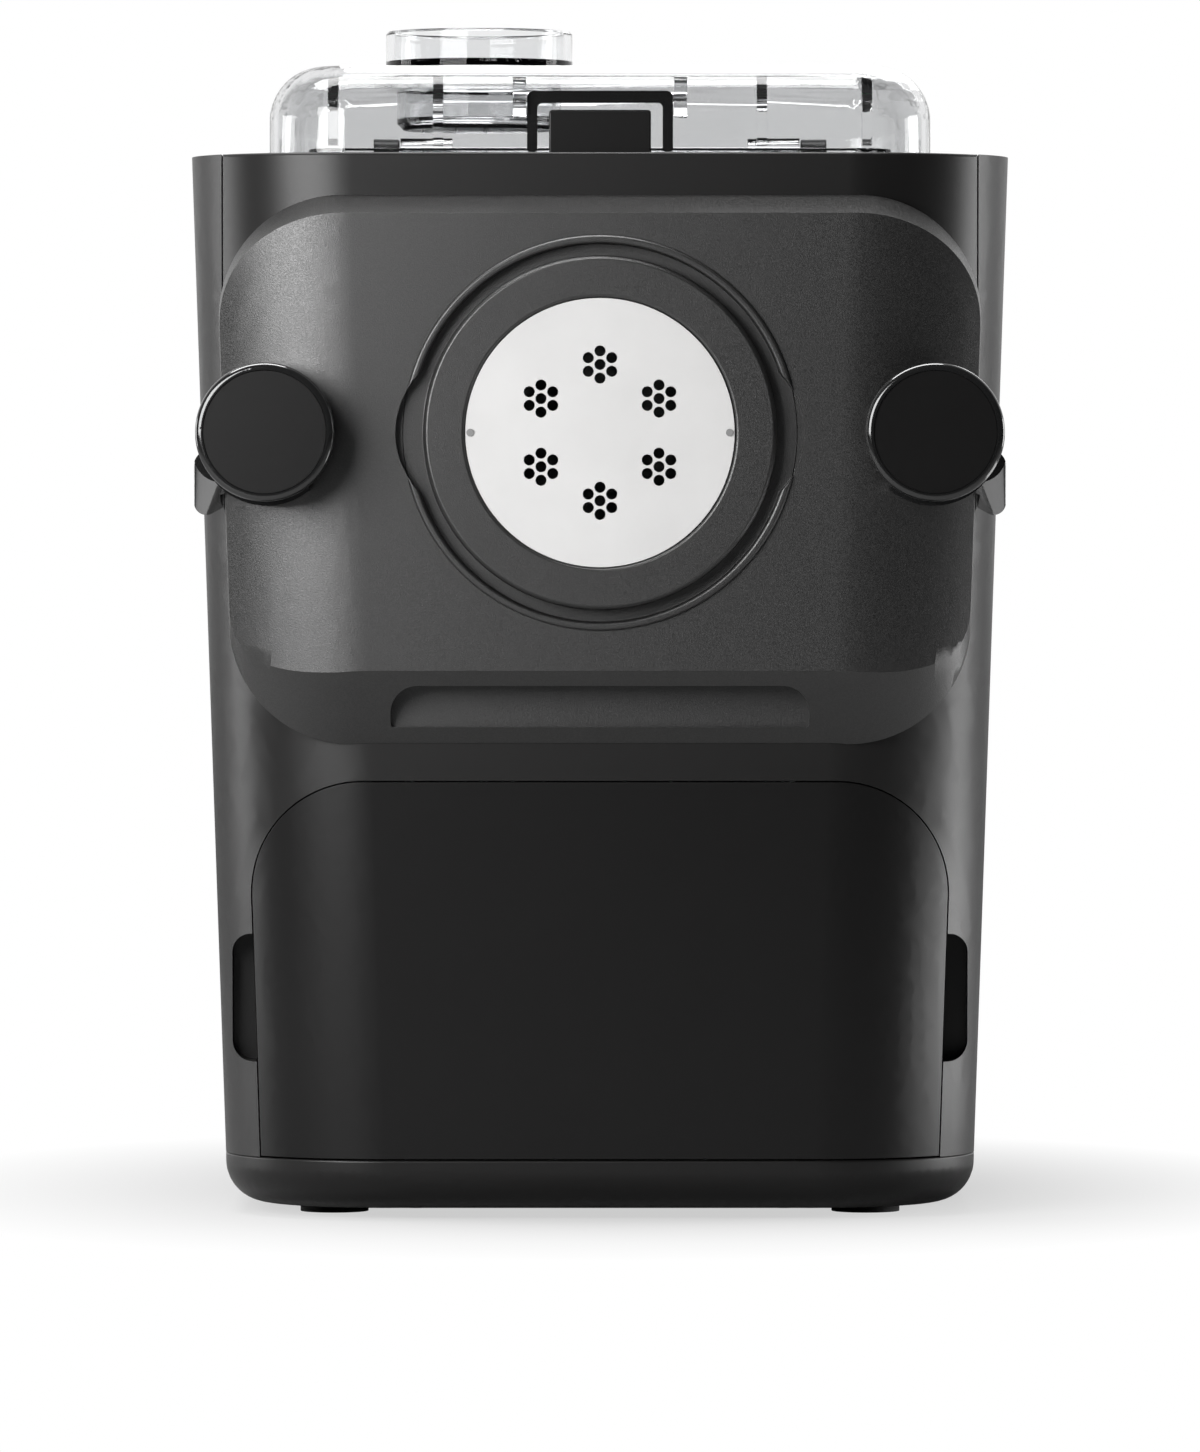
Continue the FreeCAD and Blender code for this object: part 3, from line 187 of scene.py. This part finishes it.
FLAKE_SCALE = 3800.0
FLAKE_DARKEST = 0.2
FLAKE_GLOSS = 0.9


def sparkle_plastic(name, dark, light, rough, grain_scale, grain_depth):
    """Graphite plastic with fine bright flakes under its surface."""
    material, tree, shader = new_material(name)
    place = object_place(tree)
    flakes = add(tree, "ShaderNodeTexVoronoi", Scale=FLAKE_SCALE)
    tree.links.new(place, flakes.inputs["Vector"])
    separate = tree.nodes.new("ShaderNodeSeparateColor")
    tree.links.new(flakes.outputs["Color"], separate.inputs["Color"])
    tone = shades(tree, separate.outputs["Red"], dark, light, FLAKE_DARKEST, 1.0)
    tree.links.new(tone, shader.inputs["Base Color"])
    uneven_sheen(tree, shader, separate.outputs["Green"], rough, below=0.08, above=0.1,
                 start=0.0, end=1.0)
    grain = noise(tree, place, grain_scale, GRAIN_DETAIL, GRAIN_BREAKUP)
    bump(tree, shader, grain, GRAIN_STRENGTH, grain_depth)
    set_inputs(shader, Specular_IOR_Level=FLAKE_GLOSS)
    return material


FLOW_SCALE = 30.0
FLOW_TINT = 0.97
WAVE_SCALE = 45.0
WAVE_DETAIL = 1.0
WAVE_STRENGTH = 0.12
WAVE_DEPTH = 0.0004


def clear_plastic(name, tint, rough, ior):
    """Clear plastic with faint flow lines from moulding."""
    material, tree, shader = new_material(name)
    place = object_place(tree)
    flow = noise(tree, place, FLOW_SCALE)
    uneven_sheen(tree, shader, flow, rough, below=0.0, above=0.03)
    dark = [channel * FLOW_TINT for channel in tint]
    tree.links.new(shades(tree, flow, dark, tint), shader.inputs["Base Color"])
    bump(tree, shader, noise(tree, place, WAVE_SCALE, WAVE_DETAIL), WAVE_STRENGTH, WAVE_DEPTH)
    set_inputs(shader, Transmission_Weight=1.0, IOR=ior)
    return material


LINE_DETAIL = 4.0
LINE_BREAKUP = 0.65
LINE_STRENGTH = 0.25
LINE_DEPTH = 0.00005


def metal(name, dark, light, rough, line_scale, stretch=(1.0, 1.0, 1.0)):
    """Bare metal with machining or rolling lines."""
    material, tree, shader = new_material(name)
    place = stretched(tree, object_place(tree), stretch)
    lines = noise(tree, place, line_scale, LINE_DETAIL, LINE_BREAKUP)
    tree.links.new(shades(tree, lines, dark, light), shader.inputs["Base Color"])
    uneven_sheen(tree, shader, lines, rough, below=0.06, above=0.08)
    bump(tree, shader, lines, LINE_STRENGTH, LINE_DEPTH)
    set_inputs(shader, Metallic=1.0)
    return material


def circuit_lacquer(name, dark, light, track, rough, track_scale, track_width, sheen_scale):
    """Green lacquer with copper tracks beneath it."""
    material, tree, shader = new_material(name)
    place = object_place(tree)
    tracks = add(tree, "ShaderNodeTexBrick", Scale=track_scale, Mortar_Size=track_width,
                 Color1=(*dark, 1.0), Color2=(*light, 1.0), Mortar=(*track, 1.0))
    tree.links.new(place, tracks.inputs["Vector"])
    tree.links.new(tracks.outputs["Color"], shader.inputs["Base Color"])
    uneven_sheen(tree, shader, noise(tree, place, sheen_scale), rough, below=0.0, above=0.15)
    return material


FINISHES = {
    "body_satin": (moulded_plastic, dict(
        dark=(0.0056, 0.0053, 0.0052), light=(0.0064, 0.0060, 0.0059),
        rough=0.37, grain_scale=1900.0, grain_depth=0.00004, gloss=0.4)),
    "drawer_satin": (moulded_plastic, dict(
        dark=(0.0038, 0.0036, 0.0036), light=(0.0043, 0.0041, 0.0041),
        rough=0.33, grain_scale=2100.0, grain_depth=0.00003, gloss=0.32)),
    "panel_graphite": (sparkle_plastic, dict(
        dark=(0.004, 0.0039, 0.0038), light=(0.016, 0.0155, 0.0151),
        rough=0.39, grain_scale=3000.0, grain_depth=0.00016)),
    "gloss_black": (moulded_plastic, dict(
        dark=(0.006, 0.006, 0.006), light=(0.008, 0.008, 0.008),
        rough=0.14, grain_scale=90.0, grain_depth=0.00002, coat=0.6)),
    "clear": (clear_plastic, dict(tint=(0.78, 0.785, 0.79), rough=0.0, ior=1.42)),
    "clear_cup": (clear_plastic, dict(tint=(0.88, 0.885, 0.89), rough=0.0, ior=1.25)),
    "smoked": (clear_plastic, dict(tint=(0.95, 0.955, 0.96), rough=0.0, ior=1.25)),
    "white_plastic": (moulded_plastic, dict(
        dark=(0.62, 0.615, 0.61), light=(0.66, 0.655, 0.65),
        rough=0.45, grain_scale=700.0, grain_depth=0.00004)),
    "grey_plastic": (moulded_plastic, dict(
        dark=(0.20, 0.20, 0.20), light=(0.26, 0.26, 0.26),
        rough=0.5, grain_scale=900.0, grain_depth=0.00005)),
    "rubber": (moulded_plastic, dict(
        dark=(0.018, 0.018, 0.018), light=(0.026, 0.026, 0.026),
        rough=0.78, grain_scale=600.0, grain_depth=0.0001)),
    "silicone": (moulded_plastic, dict(
        dark=(0.30, 0.30, 0.30), light=(0.36, 0.36, 0.36),
        rough=0.6, grain_scale=500.0, grain_depth=0.00006)),
    "steel": (metal, dict(
        dark=(0.45, 0.45, 0.46), light=(0.66, 0.66, 0.67),
        rough=0.3, line_scale=300.0, stretch=(1.0, 0.05, 1.0))),
    "sheet_steel": (metal, dict(
        dark=(0.42, 0.44, 0.46), light=(0.62, 0.63, 0.65),
        rough=0.42, line_scale=120.0, stretch=(1.0, 1.0, 0.2))),
    "gear_nylon": (moulded_plastic, dict(
        dark=(0.62, 0.60, 0.53), light=(0.70, 0.68, 0.61),
        rough=0.5, grain_scale=400.0, grain_depth=0.00006)),
    "bronze": (metal, dict(
        dark=(0.42, 0.26, 0.12), light=(0.62, 0.42, 0.2), rough=0.4, line_scale=900.0)),
    "board": (circuit_lacquer, dict(
        dark=(0.01, 0.09, 0.03), light=(0.012, 0.11, 0.04), track=(0.03, 0.2, 0.07),
        rough=0.25, track_scale=60.0, track_width=0.05, sheen_scale=200.0)),
    "motor_paint": (moulded_plastic, dict(
        dark=(0.03, 0.03, 0.032), light=(0.045, 0.045, 0.047),
        rough=0.45, grain_scale=500.0, grain_depth=0.00008)),
}

materials = {name: maker(name, **values) for name, (maker, values) in FINISHES.items()}
slot_of = {entry["node"]: entry["material_slot"] for entry in frame["record"]["subparts"]}


# Edge rounding on the carried-over nodes, in millimetres

EDGE_ROUNDING = {
    "main_housing": 0.8, "top_frame": 0.8, "base_tray": 0.6, "front_panel": 0.5,
    "drawer_front": 0.8, "nozzle_bezel": 0.8, "pasta_disc": 0.25, "right_clamp": 1.6,
    "left_clamp": 1.6, "latch_catch": 0.4, "lid_latch": 0.5, "control_panel": 0.4,
    "lid": 0.5, "lid_hinge_brackets": 0.4, "kneading_rod": 0.4,
    "power_inlet": 0.5, "drawer_tray": 0.5, "mixing_chamber": 0.5, "feet": 0.5,
}
ROUNDING_STEPS = 3
WELD_DISTANCE = 0.000002
SHARP_ANGLE = math.radians(34)


def smooth_shading_group():
    """Smooth faces whose shading breaks at sharp edges alone."""
    group = bpy.data.node_groups.new("even_shading", "GeometryNodeTree")
    group.interface.new_socket("Geometry", in_out="INPUT", socket_type="NodeSocketGeometry")
    group.interface.new_socket("Geometry", in_out="OUTPUT", socket_type="NodeSocketGeometry")
    start = group.nodes.new("NodeGroupInput")
    end = group.nodes.new("NodeGroupOutput")
    faces = group.nodes.new("GeometryNodeSetShadeSmooth")
    faces.domain = "FACE"
    edges = group.nodes.new("GeometryNodeSetShadeSmooth")
    edges.domain = "EDGE"
    edges.inputs["Shade Smooth"].default_value = False
    angle = group.nodes.new("GeometryNodeInputMeshEdgeAngle")
    sharp = group.nodes.new("FunctionNodeCompare")
    sharp.data_type = "FLOAT"
    sharp.operation = "GREATER_THAN"
    sharp.inputs["B"].default_value = SHARP_ANGLE
    group.links.new(angle.outputs["Unsigned Angle"], sharp.inputs["A"])
    group.links.new(start.outputs["Geometry"], faces.inputs["Geometry"])
    group.links.new(faces.outputs["Geometry"], edges.inputs["Geometry"])
    group.links.new(sharp.outputs["Result"], edges.inputs["Selection"])
    group.links.new(edges.outputs["Geometry"], end.inputs["Geometry"])
    return group


even_shading = smooth_shading_group()


def round_edges(piece, radius):
    """Joins the node's loose triangles and rounds its sharp edges, as moulding does."""
    weld = piece.modifiers.new("weld", "WELD")
    weld.merge_threshold = WELD_DISTANCE
    shading = piece.modifiers.new("even_shading", "NODES")
    shading.node_group = even_shading
    if radius:
        bevel = piece.modifiers.new("edge_rounding", "BEVEL")
        bevel.limit_method = "ANGLE"
        bevel.angle_limit = SHARP_ANGLE
        bevel.width = radius * MM
        bevel.segments = ROUNDING_STEPS
    weighted = piece.modifiers.new("flat_faces", "WEIGHTED_NORMAL")
    weighted.keep_sharp = True


# The thin cup's own finish, in place of its slot's

FINISH_OF = {"filling_cup": "clear_cup"}


def dress_frame():
    """Gives each node its finish and its rounded edges."""
    for name, piece in nodes.items():
        piece.data.materials.clear()
        piece.data.materials.append(materials[FINISH_OF.get(name, slot_of[name])])
        round_edges(piece, EDGE_ROUNDING.get(name, 0))


# New pieces

INLAY = 0.15 * MM
RING_STEPS = 64


def add_piece(name, mesh, slot, body):
    """A piece that takes its finish from a slot and moves with a body."""
    bmesh.ops.recalc_face_normals(mesh, faces=mesh.faces)
    piece = object_from(name, mesh, materials[slot])
    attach(piece, body)


def bar(mesh, centre, size, turn=0.0, axis="Z"):
    """A straight bar with its sides along the axes, turned about its own middle."""
    turned = Matrix.Translation(centre) @ Matrix.Rotation(turn, 4, axis)
    bmesh.ops.create_cube(mesh, size=1.0, matrix=turned @ Matrix.Diagonal((*size, 1.0)))


def flat_ring(mesh, centre, inner, outer, height):
    """A level ring of rectangular section that starts at its centre's height."""
    corners = [(inner, 0.0), (outer, 0.0), (outer, height), (inner, height)]
    verts = [mesh.verts.new((centre.x + radius, centre.y, centre.z + z)) for radius, z in corners]
    edges = [mesh.edges.new((verts[i], verts[(i + 1) % 4])) for i in range(4)]
    bmesh.ops.spin(mesh, geom=verts + edges, cent=centre, axis=(0, 0, 1), angle=math.tau,
                   steps=RING_STEPS, use_merge=True)


def top_of(node):
    """The middle of a node's top face."""
    low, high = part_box(node)
    return Vector(((low.x + high.x) / 2, (low.y + high.y) / 2, high.z))


BUTTON_RADIUS = 9.0 * MM
BUTTON_RING_GAP = 1.6 * MM
BUTTON_RING_WIDTH = 0.7 * MM
SIGN_REACH = 3.4 * MM
SIGN_LINE = 0.9 * MM
SIGN_LINE_STEP = 2.2 * MM
STROKE_HEIGHT = 1.4 * INLAY


def three_lines(mesh, top):
    for step in (-1, 0, 1):
        middle = top + Vector((0, step * SIGN_LINE_STEP, INLAY / 2))
        bar(mesh, middle, (2 * SIGN_REACH, SIGN_LINE, INLAY))


def triangle(mesh, top):
    middle = top + Vector((0, 0, INLAY / 2))
    place = Matrix.Translation(middle) @ Matrix.Rotation(-math.pi / 2, 4, "Z")
    bmesh.ops.create_cone(mesh, cap_ends=True, segments=3, radius1=SIGN_REACH,
                          radius2=SIGN_REACH, depth=INLAY, matrix=place)


def ring_with_stroke(mesh, top):
    flat_ring(mesh, top, SIGN_REACH - SIGN_LINE, SIGN_REACH, INLAY)
    middle = top + Vector((0, SIGN_REACH, INLAY / 2))
    bar(mesh, middle, (SIGN_LINE, SIGN_REACH, STROKE_HEIGHT))


BUTTON_SIGNS = {"program": three_lines, "start": triangle, "power": ring_with_stroke}


def make_symbols():
    """Generic signs on the buttons, and a fine ring on the deck round each of them."""
    deck = top_of("control_panel").z
    ring_inside = BUTTON_RADIUS + BUTTON_RING_GAP
    for name, sign in BUTTON_SIGNS.items():
        node = name + "_button"
        top = top_of(node)
        mesh = bmesh.new()
        sign(mesh, top)
        add_piece(name + "_sign", mesh, "white_plastic", node)
        mesh = bmesh.new()
        flat_ring(mesh, Vector((top.x, top.y, deck)), ring_inside,
                  ring_inside + BUTTON_RING_WIDTH, INLAY)
        add_piece(name + "_ring", mesh, "grey_plastic", "casing")


SEGMENT = 6.0 * MM
SEGMENT_LINE = 1.1 * MM
DIGIT_STEP = 10.0 * MM
DIGIT_PARTS = {"0": "abcdef", "1": "bc", "8": "abcdefg"}
DISPLAY = ((-1.5, "1"), (-0.5, "8"), (0.5, "0"), (1.5, "0"))


def make_digits():
    """Four plain digits on the display, with two dots in their middle."""
    centre = top_of("display_lens")
    half = SEGMENT / 2
    long_way = (SEGMENT - SEGMENT_LINE, SEGMENT_LINE, INLAY)
    across = (SEGMENT_LINE, SEGMENT - SEGMENT_LINE, INLAY)
    parts = {
        "a": ((0, SEGMENT), long_way), "d": ((0, -SEGMENT), long_way), "g": ((0, 0), long_way),
        "b": ((half, half), across), "c": ((half, -half), across),
        "e": ((-half, -half), across), "f": ((-half, half), across),
    }
    mesh = bmesh.new()
    for place, digit in DISPLAY:
        for part in DIGIT_PARTS[digit]:
            (x, y), size = parts[part]
            bar(mesh, centre + Vector((x + place * DIGIT_STEP, y, INLAY / 2)), size)
    for side in (-1, 1):
        dot = centre + Vector((0, side * half, INLAY / 2))
        bar(mesh, dot, (SEGMENT_LINE, SEGMENT_LINE, INLAY))
    add_piece("display_digits", mesh, "white_plastic", "casing")


SCREW_HEAD_RADIUS = 4.5 * MM
CROSS_LINE = 1.0 * MM
CROSS_REACH = 5.0 * MM


def head_places(low, high):
    """Where the two outer screws stand along one side of their node's box."""
    return low + SCREW_HEAD_RADIUS, high - SCREW_HEAD_RADIUS


def cross(mesh, middle, size, axis):
    for turn in (0.0, math.pi / 2):
        bar(mesh, middle, size, turn, axis)


def make_painted_screw_cross_shade():
    """Painted shade for the cross recess of each screw head: a thin dark inlay where the recess lies
    in shade.
    """
    low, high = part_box("rear_cover_screws")
    mesh = bmesh.new()
    for x, z in product(head_places(low.x, high.x), head_places(low.z, high.z)):
        # Painted shade: a dark cross inlay in place of the shade inside each rear screw's recess
        cross(mesh, Vector((x, high.y, z)), (CROSS_REACH, INLAY, CROSS_LINE), "Y")
    add_piece("rear_screw_painted_cross_shade", mesh, "gloss_black", "casing")
    low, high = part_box("base_screws")
    mesh = bmesh.new()
    for x, y in product(head_places(low.x, high.x), head_places(low.y, high.y)):
        # Painted shade: a dark cross inlay in place of the shade inside each base screw's recess
        cross(mesh, Vector((x, y, low.z)), (CROSS_REACH, CROSS_LINE, INLAY), "Z")
    add_piece("base_screw_painted_cross_shade", mesh, "gloss_black", "casing")


# Studio

FLOOR_SIZE = 14.0
FLOOR_DARK = (0.36, 0.36, 0.36)
FLOOR_LIGHT = (0.38, 0.38, 0.38)
FLOOR_TONE_SCALE = 3.0
FLOOR_ROUGHNESS = 0.9
FLOOR_GLOW = 0.6
SHADOW_REACH = 0.15
WHITE_REACH = 0.31
SHADOW_NARROWING = 1.35

WHITE = (1.0, 1.0, 1.0, 1.0)
WHITE_STRENGTH = 1.0
ROOM_COLOUR = (0.95, 0.97, 1.0, 1.0)
ROOM_STRENGTH = 0.07
BEHIND_FROM = -0.1
BEHIND_TO = 0.5


def combine(tree, operation, first, second):
    """One value from two, such as their product."""
    node = tree.nodes.new("ShaderNodeMath")
    node.operation = operation
    tree.links.new(first, node.inputs[0])
    tree.links.new(second, node.inputs[1])
    return node.outputs["Value"]


def ray_is(tree, *kinds):
    """1 for rays of these kinds, such as Is Camera Ray, and 0 for all others."""
    paths = tree.nodes.new("ShaderNodeLightPath")
    value = paths.outputs[kinds[0]]
    for kind in kinds[1:]:
        value = combine(tree, "MAXIMUM", value, paths.outputs[kind])
    return value


def end_in_mix(tree, output, share, first, second):
    """Ends a tree in a mix of two surfaces, by the second one's share."""
    mix = tree.nodes.new("ShaderNodeMixShader")
    tree.links.new(share, mix.inputs["Fac"])
    tree.links.new(first, mix.inputs[1])
    tree.links.new(second, mix.inputs[2])
    tree.links.new(mix.outputs["Shader"], tree.nodes[output].inputs["Surface"])


def backdrop_material():
    """A pale floor that keeps the shadow near the machine and is plain white further off."""
    material, tree, shader = new_material("pale_backdrop")
    place = object_place(tree)
    tone = shades(tree, noise(tree, place, FLOOR_TONE_SCALE), FLOOR_DARK, FLOOR_LIGHT)
    tree.links.new(tone, shader.inputs["Base Color"])
    set_inputs(shader, Roughness=FLOOR_ROUGHNESS, Specular_IOR_Level=0.0)
    distance = tree.nodes.new("ShaderNodeVectorMath")
    distance.operation = "LENGTH"
    outline = stretched(tree, place, (SHADOW_NARROWING, 1.0, 1.0))
    tree.links.new(outline, distance.inputs[0])
    away = spread(tree, distance.outputs["Value"], FLOOR_GLOW, 1.0, SHADOW_REACH, WHITE_REACH)
    seen = ray_is(tree, "Is Camera Ray", "Is Transmission Ray")
    white = add(tree, "ShaderNodeEmission", Strength=WHITE_STRENGTH)
    end_in_mix(tree, "Material Output", combine(tree, "MULTIPLY", seen, away),
               shader.outputs["BSDF"], white.outputs["Emission"])
    return material


def make_world():
    """A dim room that is white to the camera, and in mirrored views of what is behind."""
    world = bpy.data.worlds.new("studio")
    bpy.context.scene.world = world
    world.use_nodes = True
    tree = world.node_tree
    room = tree.nodes["Background"]
    set_inputs(room, Color=ROOM_COLOUR, Strength=ROOM_STRENGTH)
    white = add(tree, "ShaderNodeBackground", Color=WHITE, Strength=WHITE_STRENGTH)
    direction = tree.nodes.new("ShaderNodeSeparateXYZ")
    place = tree.nodes.new("ShaderNodeTexCoord").outputs["Generated"]
    tree.links.new(place, direction.inputs["Vector"])
    behind = spread(tree, direction.outputs["Y"], 0.0, 1.0, BEHIND_FROM, BEHIND_TO)
    mirrored = combine(tree, "MULTIPLY", ray_is(tree, "Is Glossy Ray", "Is Transmission Ray"), behind)
    share = combine(tree, "MAXIMUM", ray_is(tree, "Is Camera Ray"), mirrored)
    end_in_mix(tree, "World Output", share, room.outputs["Background"], white.outputs["Background"])


def make_studio():
    mesh = bmesh.new()
    bmesh.ops.create_grid(mesh, x_segments=1, y_segments=1, size=FLOOR_SIZE / 2)
    floor = object_from("floor", mesh, backdrop_material())
    make_world()


BODY_MIDDLE = (0.0, 0.0, 0.18)

# Each lamp's place, aim, two sides and power
LAMPS = {
    "key_left": ((-0.46, -0.74, 0.42), (-0.08, -0.14, 0.26), (0.5, 0.42), 7.6),
    "side_left": ((-1.3, 0.22, 0.17), BODY_MIDDLE, (0.45, 0.6), 4.8),
    "overhead": ((-0.25, -0.1, 1.5), (0.0, -0.1, 0.3), (0.5, 1.1), 24.0),
    "side_right": ((1.3, 0.22, 0.17), BODY_MIDDLE, (0.5, 0.6), 6.6),
    "low_right": ((0.38, -0.08, 0.03), (0.1, -0.1, 0.16), (0.35, 0.12), 0.45),
    "rim_back": ((0.3, 1.6, 1.2), BODY_MIDDLE, (1.0, 1.0), 8.0),
}


def make_lights():
    for name, (place, aim, sides, power) in LAMPS.items():
        data = bpy.data.lights.new(name, "AREA")
        data.shape = "RECTANGLE"
        data.size, data.size_y = sides
        data.energy = power
        lamp = in_scene(name, data)
        lamp.location = place
        lamp.rotation_euler = (Vector(aim) - Vector(place)).to_track_quat("-Z", "Y").to_euler()


bpy.context.scene.view_settings.view_transform = "Standard"
make_camera()
dress_frame()
make_symbols()
make_digits()
make_painted_screw_cross_shade()
make_studio()
make_lights()
